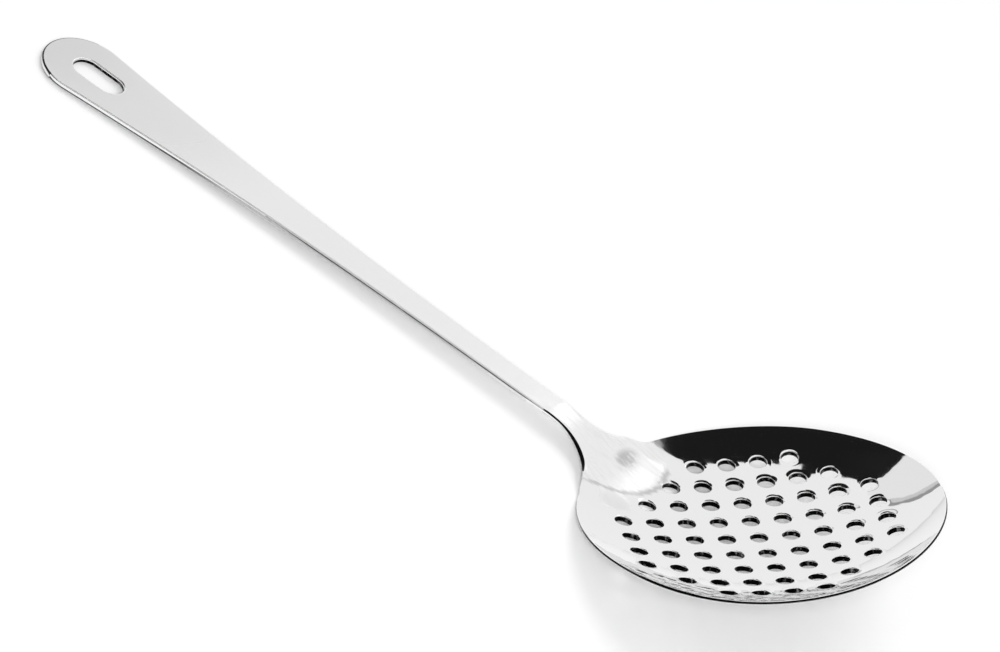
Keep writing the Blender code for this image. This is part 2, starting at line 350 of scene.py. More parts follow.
def add_hole(blank, centre, number):
    """A punched hole: its rounded edge, the shallow dip round it and the burr drawn down below."""
    angles = np.arange(HOLE_POINTS) * 2 * math.pi / HOLE_POINTS
    away = np.stack([np.cos(angles), np.sin(angles)], 1)
    for i, (inset, drop, lean, kind) in enumerate(edge_rings(HOLE_ROUND, EDGE)):
        roll, slope = rolled(HOLE_ROLL, inset)
        burr, _ = rolled(HOLE_BURR, inset)
        xy = pressed(centre + away * (HOLE_RADIUS + inset))
        hole = number if i == 0 else -1
        ring = blank.add(xy, drop, -away * lean, roll, -away * slope, kind, hole, burr, HOLE_BURNISH)
        blank.link(ring, closed=True)


def add_slot(blank, points, outward):
    """A slot with a rounded edge; its points run round it once."""
    for i, (inset, drop, lean, kind) in enumerate(edge_rings(STRIP_ROUND, EDGE)):
        hole = 0 if i == 0 else -1
        ring = blank.add(points - outward * inset, drop, outward * lean, kind=kind, hole=hole,
                         burnish=SLOT_BURNISH)
        blank.link(ring, closed=True)


def in_loop(points, loop):
    """Which points lie inside a closed outline."""
    inside = np.zeros(len(points), bool)
    x, y = points[:, 0], points[:, 1]
    for (xa, ya), (xb, yb) in zip(loop, np.roll(loop, -1, axis=0)):
        if ya != yb:
            crosses = (ya > y) != (yb > y)
            inside ^= crosses & (x < xa + (y - ya) * (xb - xa) / (yb - ya))
    return inside


def blank_triangles(blank):
    """Triangles over a blank, facing up, with nothing across its holes or outside its outline."""
    flat = [Vector(p) for p in blank.xy]
    _, _, faces, origins, _, _ = delaunay_2d_cdt(flat, blank.edges, [], 0, MERGE_DISTANCE)
    number = np.array([origin[0] for origin in origins])
    triangles = number[np.array(faces)]
    xy = np.array(blank.xy)
    a, b, c = (xy[triangles[:, k]] for k in range(3))
    turn = (b - a)[:, 0] * (c - a)[:, 1] - (b - a)[:, 1] * (c - a)[:, 0]
    triangles[turn < 0] = triangles[turn < 0][:, [0, 2, 1]]
    hole = np.array(blank.hole)[triangles]
    in_hole = (hole[:, 0] >= 0) & (hole[:, 0] == hole[:, 1]) & (hole[:, 0] == hole[:, 2])
    on_boundary = np.isin(triangles, blank.boundary).all(1)
    outside = on_boundary & ~in_loop((a + b + c) / 3, xy[blank.boundary])
    return triangles[~in_hole & ~outside]


def rest_pose():
    """The turn and shift that lay the bowl's frame down onto the frame's solids."""
    turn = Matrix.Rotation(-REST_TILT, 4, 'Y')
    upper, normals = surface(rim_points(np.linspace(0, 2 * math.pi, RIM_POINTS))[0])
    rim = [turn @ Vector(p) for p in np.concatenate([upper, upper - normals * BOWL_GAUGE])]
    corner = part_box("bowl")[1]
    shift = Vector((corner.x - max(p.x for p in rim), 0, corner.z - max(p.z for p in rim)))
    return Matrix.Translation(shift) @ turn


def make_piece(name, blank, materials):
    """A closed sheet-metal piece whose faces and rounded edges follow the pressed surface."""
    triangles = blank_triangles(blank)
    xy = np.array(blank.xy)
    points, face = surface(xy)
    lean = in_face(np.array(blank.lean), face)
    roll = in_face(np.array(blank.roll), face)
    drop = np.array(blank.drop)
    rise = np.sqrt(1 - np.minimum((lean ** 2).sum(1), 1))[:, None]
    upper = points - face * drop[:, 1:]
    lower = points - face * (gauge(xy[:, 0])[:, None] - drop[:, :1])
    normals = [unit(lean + unit(face + roll) * rise), unit(lean - face * rise)]

    directed = np.concatenate([triangles[:, [0, 1]], triangles[:, [1, 2]], triangles[:, [2, 0]]])
    count = len(xy)
    there = set(map(tuple, directed.tolist()))
    walls = sorted((a, b) for a, b in there if (b, a) not in there)
    faces = triangles.tolist() + (triangles[:, ::-1] + count).tolist()
    kind = np.array(blank.kind)
    finishes = [int(kind[corners].max()) for corners in triangles] * 2
    for a, b in walls:
        a_middle, b_middle = a + 2 * count, b + 2 * count
        faces += [(b, a, a_middle, b_middle), (b_middle, a_middle, a + count, b + count)]
        finishes += wall_finishes(blank, a, b)
    burnish = np.array(blank.burnish)[:, None]
    placed = np.concatenate([upper, lower, upper + (lower - upper) * burnish])
    normals = np.concatenate(normals + [unit(lean + face * rise)])

    pose = np.array(rest_pose())
    placed = placed @ pose[:3, :3].T + pose[:3, 3]
    normals = normals @ pose[:3, :3].T

    used = np.zeros(3 * count, bool)
    used[np.unique([number for corners in faces for number in corners])] = True
    renumber = np.cumsum(used) - 1
    mesh = bpy.data.meshes.new(name)
    mesh.from_pydata(placed[used].tolist(), [], [[int(renumber[i]) for i in f] for f in faces])
    for material in materials:
        mesh.materials.append(material)
    mesh.polygons.foreach_set("material_index", finishes)
    mesh.shade_smooth()
    mesh.normals_split_custom_set_from_vertices(normals[used].tolist())
    piece = bpy.data.objects.new(name, mesh)
    bpy.context.scene.collection.objects.link(piece)
    return piece


def wall_finishes(blank, a, b):
    """Finishes of a wall's upper and lower part: along the strip's middle a painted dark reflection line
    over metal painted grey for the floor's mirrored shadow.
    """
    upper = int(max(blank.kind[a], blank.kind[b]))
    if upper == FACE:
        return [FACE, FACE]
    if blank.hole[a] >= 0:
        return [upper, PUNCHED]
    x = blank.xy[a][0]
    if LINE_END < x < NECK_DARK_END:
        upper = PUNCHED
    bright = NECK_BRIGHT_END < x < NECK_BRIGHT_START or x < TIP_EDGE
    return [upper, EDGE if bright else SHEARED]


def in_face(plan, face):
    """Plan directions turned into the slope of the face, keeping their length."""
    length = np.linalg.norm(plan, axis=1, keepdims=True)
    flat = np.concatenate([plan, np.zeros((len(plan), 1))], 1)
    sloped = flat - face * (flat * face).sum(1, keepdims=True)
    return sloped / np.maximum(np.linalg.norm(sloped, axis=1, keepdims=True), LEAST_LENGTH) * length


# Outlines in plan, as points and outward directions

def rim_points(angles):
    cosine, sine = np.cos(angles), np.sin(angles)
    points = np.stack([HALF_LENGTH * cosine + WIDEST_AHEAD * sine ** 2, HALF_WIDTH * sine], 1)
    outward = np.stack([HALF_WIDTH * cosine, (HALF_LENGTH - 2 * WIDEST_AHEAD * cosine) * sine], 1)
    return points, unit(outward)


def rolled_fillet(angle):
    """Centre of the neck's fillet circle when it touches the rim at an angle."""
    points, outward = rim_points(np.array([angle]))
    return points[0] + outward[0] * NECK_FILLET


def fillet_contact():
    """The rim's angle where the fillet circle touches both the rim and the neck's edge."""
    low, high = math.pi / 2, math.pi
    for _ in range(SOLVE_STEPS):
        middle = (low + high) / 2
        if rolled_fillet(middle)[1] > NECK_HALF_WIDTH + NECK_FILLET:
            low = middle
        else:
            high = middle
    return low


FILLET_CONTACT = fillet_contact()
FILLET_CENTRE = rolled_fillet(FILLET_CONTACT)


def neck_edge(x):
    """Points and outward directions of the neck's edge on its +Y side."""
    reach = np.clip(x - FILLET_CENTRE[0], 0, NECK_FILLET)
    fall = np.sqrt(NECK_FILLET ** 2 - reach ** 2)
    points = np.stack([x, FILLET_CENTRE[1] - fall], 1)
    return points, np.stack([-reach, fall], 1) / NECK_FILLET


def mirrored(points, outward):
    """The same run of edge on the other side of the handle's axis, walked back."""
    flip = np.array([1.0, -1.0])
    return (points * flip)[::-1], (outward * flip)[::-1]


def joined(*runs):
    return np.concatenate([r[0] for r in runs]), np.concatenate([r[1] for r in runs])


def without_first(run):
    return run[0][1:], run[1][1:]


def bowl_edge():
    rim = rim_points(np.linspace(FILLET_CONTACT, 0, RIM_POINTS // 2))
    flare = neck_edge(np.linspace(-WELD_NEAR, rim[0][0, 0], FILLET_POINTS))
    half = joined(flare, without_first(rim))
    return joined(half, without_first(mirrored(*half)))


def weld_edges():
    half = neck_edge(np.linspace(-WELD_NEAR, -WELD_FAR, WELD_POINTS))
    return [half, mirrored(*half)]


def along_handle(points, outward):
    """A run given as distance along the strip and across it, put into plan."""
    lean = math.cos(HANDLE_RISE)
    placed = np.stack([-NECK_TOP - points[:, 0] * lean, points[:, 1]], 1)
    return placed, unit(np.stack([-outward[:, 0] / lean, outward[:, 1]], 1))


def handle_edge():
    turn = 0.0
    for _ in range(SOLVE_STEPS):
        run = END_CENTRE - END_RADIUS * math.sin(turn)
        widening = END_RADIUS * math.cos(turn) - NECK_HALF_WIDTH
        turn = math.atan(widening * FLARE_POWER / run)
    share = np.linspace(0, 1, FLARE_POINTS)
    width = NECK_HALF_WIDTH + widening * share ** FLARE_POWER
    slope = widening * FLARE_POWER / run * share ** (FLARE_POWER - 1)
    flare = np.stack([run * share, width], 1), unit(np.stack([-slope, np.ones_like(share)], 1))
    angles = np.linspace(math.pi / 2 + turn, 0, END_POINTS // 2)
    away = np.stack([np.cos(angles), np.sin(angles)], 1)
    end = np.array([END_CENTRE, 0]) + END_RADIUS * away, away
    foot = neck_edge(np.linspace(-WELD_FAR, -NECK_TOP, FILLET_POINTS // 2))
    strip = along_handle(*joined(without_first(flare), without_first(end)))
    half = joined(foot, strip)
    return joined(half, without_first(mirrored(*half)))


def slot_edge():
    angles = np.linspace(0, 2 * math.pi, END_POINTS, endpoint=False) + math.pi / END_POINTS
    away = np.stack([np.cos(angles), np.sin(angles)], 1)
    middle = SLOT_CENTRE + SLOT_HALF_RUN * np.sign(away[:, 0])
    points = np.stack([middle, np.zeros_like(middle)], 1) + SLOT_RADIUS * away
    return along_handle(points, -away)


def hole_centres():
    """Grid places on the flat blank inside the oval field."""
    reach = range(-GRID_REACH, GRID_REACH + 1)
    diagonal = HOLE_PITCH / math.sqrt(2)
    cosine, sine = math.cos(GRID_TURN), math.sin(GRID_TURN)
    centres = []
    for i in reach:
        for j in reach:
            side = (i - j) * diagonal / FIELD_SIDES
            end = (i + j) * diagonal / FIELD_ENDS
            if side ** 2 + end ** 2 <= 1:
                centres.append(HOLE_PITCH * np.array([i * cosine + j * sine, i * sine - j * cosine]))
    return centres


def staggered(x_from, x_to, half_width, spacing):
    """A grid of points whose rows are shifted by half a step, like bricks."""
    rows = np.arange(x_from, x_to, spacing * math.sqrt(3) / 2)
    columns = np.arange(-half_width, half_width, spacing)
    grid = [(x, y + spacing / 2 * (i % 2)) for i, x in enumerate(rows) for y in columns]
    return np.array(grid)


def clear_of(points, loops, distance):
    """Which points keep their distance from every point of some outlines."""
    clear = np.ones(len(points), bool)
    for loop in loops:
        for p in loop:
            clear &= np.hypot(points[:, 0] - p[0], points[:, 1] - p[1]) > distance
    return clear


# Pieces

def make_bowl(materials):
    blank = Blank()
    edge = bowl_edge()
    add_outline(blank, [edge])
    centres = hole_centres()
    for number, centre in enumerate(centres):
        add_hole(blank, centre, number)
    grid = staggered(-WELD_NEAR, HALF_LENGTH, HALF_WIDTH, FINE_GRID)
    grid = grid[in_loop(grid, edge[0])]
    grid = grid[clear_of(grid, [edge[0]], ROLL_WIDTH)]
    grid = grid[grid[:, 0] > -WELD_NEAR + FINE_GRID / 2]
    dips = pressed(np.array(centres))
    blank.add(grid[clear_of(grid, [dips], HOLE_RADIUS + ROLL_WIDTH)])
    return make_piece("perforated_bowl", blank, materials)


def make_weld(materials):
    blank = Blank()
    add_outline(blank, weld_edges())
    inner = NECK_HALF_WIDTH - ROLL_WIDTH
    blank.add(staggered(-WELD_FAR + FINE_GRID / 2, -WELD_NEAR - FINE_GRID / 2, inner, FINE_GRID))
    return make_piece("dressed_weld", blank, materials)


def make_handle(materials):
    blank = Blank()
    edge = handle_edge()
    slot = slot_edge()
    add_outline(blank, [edge])
    add_slot(blank, *slot)
    bend = -NECK_TOP - HANDLE_TAPER
    neck = staggered(bend, -WELD_FAR - FINE_GRID / 2, 2 * NECK_HALF_WIDTH, FINE_GRID)
    neck = neck[in_loop(neck, edge[0])]
    blank.add(neck[clear_of(neck, [edge[0]], ROLL_WIDTH)])
    strip = staggered(-NECK_TOP - HANDLE_LENGTH, bend - COARSE_GRID, END_RADIUS, COARSE_GRID)
    strip = strip[in_loop(strip, edge[0]) & ~in_loop(strip, slot[0])]
    blank.add(strip[clear_of(strip, [edge[0], slot[0]], ROLL_WIDTH)])
    return make_piece("strip_handle", blank, materials)


# Materials

STEEL_GREY = 0.82
GROUND_BORDER = -0.0370
GROUND_MIDDLE = 0.005
GROUND_BEND_LEFT = 34.6
GROUND_BEND_RIGHT = 27.0
GROUND_WANDER = 0.0011
BORDER_WIDTH = 0.0018
# How dark the line along the ground border is painted: a painted dark reflection.
BORDER_REFLECTION_DARKNESS = 0.85
BORDER_SIDES = (0.013, 0.017)
GROUND_LAST = GROUND_BORDER - 0.001
POLISH_FIRST = GROUND_BORDER + 0.001
FINISH_STOPS = [(TIP_X, 0.40), (-0.215, 0.30), (-0.170, 0.17), (-0.075, 0.17), (-0.058, 0.24),
                (GROUND_LAST, 0.22), (POLISH_FIRST, 0.10), (GROUND_BORDER + 0.005, 0.05),
                (HALF_LENGTH, 0.04)]
STROKE_STOPS = [(TIP_X, 0.05), (-0.085, 0.05), (-0.062, 1.0), (GROUND_LAST, 1.0),
                (POLISH_FIRST, 0.0), (HALF_LENGTH, 0.0)]
NOISE_SPAN = (0.3, 0.7)
COARSE_DETAIL = 2.0
MEDIUM_DETAIL = 3.0
FINE_DETAIL = 4.0
STROKE_SPAN = (0.35, 0.65)
STREAK_FINISH = 0.03
STROKE_GRAIN = (90.0, 700.0, 90.0)
STROKE_DEPTH = 0.000003
SHADE_GRAIN = (220.0, 1100.0, 220.0)
SHADE_SPAN = (0.45, 0.70)
STROKE_SHADE = 0.13
WAVE_GRAIN = (110.0, 110.0, 110.0)
WAVE_SHARE = 16.0
RIPPLE_GRAIN = (160.0, 160.0, 160.0)
RIPPLE_SHARE = 26.0
RIPPLE_HEIGHTS = (-0.0060, -0.0025)
RIPPLE_SIDES = (-0.026, -0.014)
SPOT_CORE = 0.3
BLOTCH_GREY = 0.50
BLOTCH_PLACE = (-0.0485, 0.0055, 0.0)
BLOTCH_SIZE = (0.0039, 0.0074, 1.0)
BLOTCH_GRAIN = (250.0, 400.0, 250.0)
BLOTCH_SPAN = (0.35, 0.6)
BLOTCH_LEAST = 0.2
SMEAR_PLACE = (-0.0415, -0.0133, 0.0)
SMEAR_SIZE = (0.0085, 0.0065, 1.0)
SMEAR_FINISH = 0.45
# The edge's grey is lighter than the steel's: a painted highlight.
EDGE_GREY_AND_HIGHLIGHT = 0.92
EDGE_GRAIN = (60.0, 900.0, 900.0)
EDGE_FINISH = (0.06, 0.14)
EDGE_DEPTH = 0.000004
TEAR_GRAIN = (900.0, 900.0, 400.0)
# Greys of torn metal, near black: torn steel with a painted dark reflection.
TEAR_AND_REFLECTION_STOPS = [(0.56, 0.004), (0.76, 0.35)]
TEAR_FINISH = (0.55, 0.35)
# Greys of a free edge's torn part along X, painted reflections: near black at the rim, neck and tip, grey
# along the handle for the floor's mirrored shadow.
SHEAR_AND_REFLECTION_STOPS = [(TIP_X, 0.03), (TIP_X + 0.006, 0.03), (TIP_X + 0.011, 0.09), (-0.205, 0.09), (-0.180, 0.55),
               (-0.110, 0.55), (-0.084, 0.80), (-0.078, 0.80), (-0.0722, 0.020), (-0.066, 0.010),
               (-0.0535, 0.010), (-0.0520, 0.50), (-0.044, 0.40), (-0.034, 0.05), (-0.028, 0.010),
               (HALF_LENGTH, 0.010)]
SHEAR_FINISH = (0.35, 0.55)


def new_material(name):
    material = bpy.data.materials.new(name)
    material.use_nodes = True
    tree = material.node_tree
    return material, tree, tree.nodes["Principled BSDF"]


def add_node(tree, kind, **settings):
    node = tree.nodes.new(kind)
    for key, value in settings.items():
        setattr(node, key, value)
    return node


def bowl_place(tree):
    """Coordinates in the bowl's own frame, found by undoing the rest pose."""
    pose = rest_pose()
    undo = add_node(tree, "ShaderNodeMapping", vector_type='TEXTURE')
    undo.inputs["Location"].default_value = pose.translation
    undo.inputs["Rotation"].default_value = pose.to_euler()
    tree.links.new(add_node(tree, "ShaderNodeTexCoord").outputs["Object"], undo.inputs["Vector"])
    return undo.outputs["Vector"]


def length_ramp(tree, x, stops):
    """A value that changes along the skimmer, given at some places on the bowl frame's X."""
    low, high = stops[0][0], stops[-1][0]
    share = add_node(tree, "ShaderNodeMapRange")
    share.inputs["From Min"].default_value = low
    share.inputs["From Max"].default_value = high
    tree.links.new(x, share.inputs["Value"])
    ramp = add_node(tree, "ShaderNodeValToRGB")
    ramp.color_ramp.interpolation = 'EASE'
    elements = ramp.color_ramp.elements
    while len(elements) < len(stops):
        elements.new(0.5)
    for element, (place, value) in zip(elements, stops):
        element.position = (place - low) / (high - low)
        element.color = (value, value, value, 1)
    tree.links.new(share.outputs["Result"], ramp.inputs["Fac"])
    return ramp.outputs["Color"]


def noise(tree, coordinates, scale, detail):
    """Noise whose grain has its own size along each axis."""
    stretch = add_node(tree, "ShaderNodeMapping")
    stretch.inputs["Scale"].default_value = scale
    tree.links.new(coordinates, stretch.inputs["Vector"])
    texture = add_node(tree, "ShaderNodeTexNoise")
    texture.inputs["Scale"].default_value = 1.0
    texture.inputs["Detail"].default_value = detail
    tree.links.new(stretch.outputs["Vector"], texture.inputs["Vector"])
    return texture.outputs["Fac"]


def remap(tree, value, low, high, to_low, to_high):
    """A value eased from one range into another."""
    node = add_node(tree, "ShaderNodeMapRange", interpolation_type='SMOOTHSTEP')
    for key, number in (("From Min", low), ("From Max", high), ("To Min", to_low), ("To Max", to_high)):
        node.inputs[key].default_value = number
    tree.links.new(value, node.inputs["Value"])
    return node.outputs["Result"]


def combine(tree, operation, first, second):
    """One step of arithmetic on two values; a plain number is set on its socket."""
    node = add_node(tree, "ShaderNodeMath", operation=operation)
    for socket, value in zip(node.inputs, (first, second)):
        if isinstance(value, float):
            socket.default_value = value
        else:
            tree.links.new(value, socket)
    return node.outputs["Value"]


def steel(name):
    """Stainless steel: mirror polish in the bowl, ground strokes on the neck, satin towards the end."""
    material, tree, shader = new_material(name)
    place = bowl_place(tree)
    split = add_node(tree, "ShaderNodeSeparateXYZ")
    tree.links.new(place, split.inputs["Vector"])
    strokes = noise(tree, place, STROKE_GRAIN, FINE_DETAIL)
    waves = noise(tree, place, WAVE_GRAIN, COARSE_DETAIL)
    along = ground_along(tree, split.outputs["X"], split.outputs["Y"], strokes)

    finish = length_ramp(tree, along, FINISH_STOPS)
    grain = length_ramp(tree, along, STROKE_STOPS)
    streaks = remap(tree, strokes, *STROKE_SPAN, -STREAK_FINISH, STREAK_FINISH)
    streaks = combine(tree, 'MULTIPLY', grain, streaks)
    smear = combine(tree, 'MULTIPLY', spot(tree, place, SMEAR_PLACE, SMEAR_SIZE), SMEAR_FINISH)
    finish = combine(tree, 'MAXIMUM', combine(tree, 'ADD', finish, streaks), smear)
    tree.links.new(finish, shader.inputs["Roughness"])

    relief = combine(tree, 'MULTIPLY', strokes, grain)
    relief = combine(tree, 'ADD', relief, combine(tree, 'MULTIPLY', waves, WAVE_SHARE))
    relief = combine(tree, 'ADD', relief, front_ripples(tree, place, split))
    bump = add_node(tree, "ShaderNodeBump")
    bump.inputs["Distance"].default_value = STROKE_DEPTH
    tree.links.new(relief, bump.inputs["Height"])
    tree.links.new(bump.outputs["Normal"], shader.inputs["Normal"])

    # The line along the ground border darkens the colour: a painted dark reflection.
    border = mirrored_border_line(tree, along, split.outputs["Y"])
    darkening = combine(tree, 'MAXIMUM', neck_blotch(tree, place), border)
    shade = remap(tree, noise(tree, place, SHADE_GRAIN, FINE_DETAIL), *SHADE_SPAN, 0.0, STROKE_SHADE)
    darkening = combine(tree, 'MAXIMUM', darkening, combine(tree, 'MULTIPLY', grain, shade))
    grey = add_node(tree, "ShaderNodeValToRGB")
    for element, value in zip(grey.color_ramp.elements, (STEEL_GREY, BLOTCH_GREY)):
        element.color = (value, value, value, 1)
    tree.links.new(darkening, grey.inputs["Fac"])
    tree.links.new(grey.outputs["Color"], shader.inputs["Base Color"])
    shader.inputs["Metallic"].default_value = 1.0
    return material


def front_ripples(tree, place, split):
    """Unevenness that the press left in the wall on the -Y side, which breaks up what it mirrors."""
    wall = remap(tree, split.outputs["Z"], *RIPPLE_HEIGHTS, 0.0, RIPPLE_SHARE)
    side = remap(tree, split.outputs["Y"], *RIPPLE_SIDES, 1.0, 0.0)
    ripples = noise(tree, place, RIPPLE_GRAIN, COARSE_DETAIL)
    return combine(tree, 'MULTIPLY', ripples, combine(tree, 'MULTIPLY', wall, side))


def ground_along(tree, x, y, wander):
    """Distance along the skimmer, bent so that the border of the ground neck lies at one value."""
    side = combine(tree, 'SUBTRACT', y, GROUND_MIDDLE)
    for clip, bend in (('MINIMUM', GROUND_BEND_LEFT), ('MAXIMUM', GROUND_BEND_RIGHT)):
        half = combine(tree, clip, side, 0.0)
        square = combine(tree, 'MULTIPLY', half, half)
        x = combine(tree, 'ADD', x, combine(tree, 'MULTIPLY', square, bend))
    return combine(tree, 'ADD', x, remap(tree, wander, *NOISE_SPAN, -GROUND_WANDER / 2, GROUND_WANDER / 2))


def mirrored_border_line(tree, along, y):
    """A painted dark reflection line along the ground border, from 0 to 1."""
    away = combine(tree, 'ABSOLUTE', combine(tree, 'SUBTRACT', along, GROUND_BORDER), 0.0)
    line = remap(tree, away, 0.0, BORDER_WIDTH, BORDER_REFLECTION_DARKNESS, 0.0)
    side = combine(tree, 'ABSOLUTE', y, 0.0)
    return combine(tree, 'MULTIPLY', line, remap(tree, side, *BORDER_SIDES, 1.0, 0.0))


def neck_blotch(tree, place):
    """A darker grey oval spot on the neck, patchy inside, from 0 to 1."""
    patchy = remap(tree, noise(tree, place, BLOTCH_GRAIN, MEDIUM_DETAIL), *BLOTCH_SPAN, BLOTCH_LEAST, 1.0)
    return combine(tree, 'MULTIPLY', spot(tree, place, BLOTCH_PLACE, BLOTCH_SIZE), patchy)


def spot(tree, place, centre, size):
    """A soft oval spot in plan, from 0 to 1."""
    offset = add_node(tree, "ShaderNodeMapping", vector_type='TEXTURE')
    offset.inputs["Location"].default_value = centre
    offset.inputs["Scale"].default_value = size
    tree.links.new(place, offset.inputs["Vector"])
    distance = add_node(tree, "ShaderNodeVectorMath", operation='LENGTH')
    tree.links.new(offset.outputs["Vector"], distance.inputs[0])
    return remap(tree, distance.outputs["Value"], SPOT_CORE, 1.0, 1.0, 0.0)


def polished_edge_and_highlight():
    """A rounded edge, tumbled smooth, with faint scratches along it; its grey is lighter than the steel's,
    a painted highlight.
    """
    material, tree, shader = new_material("polished_edge_and_highlight")
    place = bowl_place(tree)
    scratches = noise(tree, place, EDGE_GRAIN, MEDIUM_DETAIL)
    tree.links.new(remap(tree, scratches, *NOISE_SPAN, *EDGE_FINISH), shader.inputs["Roughness"])
    bump = add_node(tree, "ShaderNodeBump")
    bump.inputs["Distance"].default_value = EDGE_DEPTH
    tree.links.new(scratches, bump.inputs["Height"])
    tree.links.new(bump.outputs["Normal"], shader.inputs["Normal"])
    shader.inputs["Base Color"].default_value = (EDGE_GREY_AND_HIGHLIGHT, EDGE_GREY_AND_HIGHLIGHT, EDGE_GREY_AND_HIGHLIGHT, 1)
    shader.inputs["Metallic"].default_value = 1.0
    return material


def punched_edge_painted_reflection():
    """The torn wall that a punch leaves in a hole, and the line along the strip, painted near black: torn
    steel with a painted dark reflection.
    """
    material, tree, shader = new_material("punched_edge_painted_reflection")
    place = bowl_place(tree)
    tears = noise(tree, place, TEAR_GRAIN, MEDIUM_DETAIL)
    grey = add_node(tree, "ShaderNodeValToRGB")
    for element, (position, value) in zip(grey.color_ramp.elements, TEAR_AND_REFLECTION_STOPS):
        element.position = position
        element.color = (value, value, value, 1)
    tree.links.new(tears, grey.inputs["Fac"])
    tree.links.new(grey.outputs["Color"], shader.inputs["Base Color"])
    tree.links.new(remap(tree, tears, *NOISE_SPAN, *TEAR_FINISH), shader.inputs["Roughness"])
    shader.inputs["Metallic"].default_value = 1.0
    return material


def sheared_edge_painted_reflection():
    """The torn part of a free edge with painted reflections: near black round the bowl, at the neck and at
    the tip, grey along the handle for the floor's mirrored shadow.
    """
    material, tree, shader = new_material("sheared_edge_painted_reflection")
    place = bowl_place(tree)
    split = add_node(tree, "ShaderNodeSeparateXYZ")
    tree.links.new(place, split.inputs["Vector"])
    tree.links.new(length_ramp(tree, split.outputs["X"], SHEAR_AND_REFLECTION_STOPS), shader.inputs["Base Color"])
    tears = noise(tree, place, TEAR_GRAIN, MEDIUM_DETAIL)
    tree.links.new(remap(tree, tears, *NOISE_SPAN, *SHEAR_FINISH), shader.inputs["Roughness"])
    shader.inputs["Metallic"].default_value = 1.0
    return material


# Studio

CAMERA_TARGET = Vector((0.00465, 0.02449, 0.0))
CAMERA_AZIMUTH = math.radians(17.029)
CAMERA_ELEVATION = math.radians(35.784)
CAMERA_ROLL = math.radians(26.759)
CAMERA_DISTANCE = 1.9426
CAMERA_LENS = 226.05
CAMERA_SENSOR = 36.0
CAMERA_RANGE = 50.0

FLOOR_SIZE = 3.0
FLOOR_GREY = 0.97
FLOOR_ROUGHNESS = 0.9
WORLD_LIGHT = 0.64
FRONT_LAMP_SIZE = 0.35
FRONT_LAMP_POWER = 12.0
FRONT_LAMP_PLACE = Vector((0.48, -1.24, 0.96))
BACK_LAMP_SIZE = 1.4
BACK_LAMP_POWER = 9.0
BACK_LAMP_PLACE = Vector((0.25, 0.90, 1.70))

BOWL_PLACE = Vector((0.10, 0.0, 0.02))
DARK = 0.012
ROOM_LEFT, ROOM_RIGHT = -3.0, 2.2
ROOM_FRONT, ROOM_BACK = -2.2, 1.0
ROOM_HEIGHT = 1.2
LEFT_WALL_END = -0.2
DARK_FLOOR_FRONT = -0.14
DARK_FLOOR_SIDE = 0.22
DARK_FLOOR_HEIGHT = 0.001
CEILING_HEIGHT = 1.0
CEILING = [(-1.50, 1.03), (-1.10, 0.93), (-0.87, 0.90), (-0.80, 0.73), (-0.74, 0.91), (-0.55, 0.97),
           (-0.44, 1.0), (-0.30, 0.62), (-0.42, 0.27), (-0.60, 0.20), (-0.95, 0.20), (-0.75, -0.5),
           (-0.75, ROOM_FRONT), (ROOM_LEFT, ROOM_FRONT), (ROOM_LEFT, 0.1), (-1.7, 0.57)]
BEAM = (-0.55, -0.10, -0.45, 0.0)
SOFTBOX_GLOW = 1.7
SOFTBOX_HEIGHT = 1.02
SOFTBOX = [(-0.16, 1.12), (-0.02, 1.10), (0.02, 1.22), (-0.05, 1.36), (-0.36, 1.42), (-0.36, 1.16)]
PANEL_X = -2.0
PANEL_EDGE_TOP = (1.88, 1.04)
PANEL_EDGE_FOOT = (0.98, 0.06)
PANEL_LAYER = 0.01
PANEL_STRIPS = [("panel", 1.2, 0.92), ("panel_shade", 0.16, 0.67), ("panel_edge", 0.08, 0.33)]


def add_camera():
    data = bpy.data.cameras.new("camera")
    data.sensor_width = CAMERA_SENSOR
    data.lens = CAMERA_LENS
    data.clip_end = CAMERA_RANGE
    camera = bpy.data.objects.new("camera", data)
    bpy.context.scene.collection.objects.link(camera)
    level = math.cos(CAMERA_ELEVATION)
    ahead = Vector((-math.sin(CAMERA_AZIMUTH) * level, math.cos(CAMERA_AZIMUTH) * level,
                    -math.sin(CAMERA_ELEVATION)))
    aim = ahead.to_track_quat('-Z', 'Y').to_matrix() @ Matrix.Rotation(CAMERA_ROLL, 3, 'Z')
    camera.matrix_world = Matrix.Translation(CAMERA_TARGET - ahead * CAMERA_DISTANCE) @ aim.to_4x4()
    bpy.context.scene.camera = camera


def card(name, corners):
    """A flat card of the studio."""
    mesh = bpy.data.meshes.new(name)
    mesh.from_pydata(corners, [], [range(len(corners))])
    piece = bpy.data.objects.new(name, mesh)
    bpy.context.scene.collection.objects.link(piece)
    return piece


def lying(outline, height):
    """Corners of a card that lies level at a height."""
    return [(x, y, height) for x, y in outline]


def rectangle(x_low, x_high, y_low, y_high, height):
    return lying([(x_low, y_low), (x_high, y_low), (x_high, y_high), (x_low, y_high)], height)


def standing(start, end):
    """Corners of a wall of the room that stands between two places on the floor."""
    return [(*start, 0.0), (*end, 0.0), (*end, ROOM_HEIGHT), (*start, ROOM_HEIGHT)]


def glow(name, colour):
    """A card's material that shines by itself, so that metal mirrors it at a fixed brightness."""
    material = bpy.data.materials.new(name)
    material.use_nodes = True
    tree = material.node_tree
    tree.nodes.remove(tree.nodes["Principled BSDF"])
    light = add_node(tree, "ShaderNodeEmission")
    light.inputs["Color"].default_value = (colour, colour, colour, 1)
    tree.links.new(light.outputs["Emission"], tree.nodes["Material Output"].inputs["Surface"])
    return material


def add_floor():
    half = FLOOR_SIZE / 2
    floor = card("floor", rectangle(-half, half, -half, half, 0.0))
    material, _, shader = new_material("floor_white")
    shader.inputs["Base Color"].default_value = (FLOOR_GREY, FLOOR_GREY, FLOOR_GREY, 1)
    shader.inputs["Roughness"].default_value = FLOOR_ROUGHNESS
    shader.inputs["Specular IOR Level"].default_value = 0.0
    floor.data.materials.append(material)


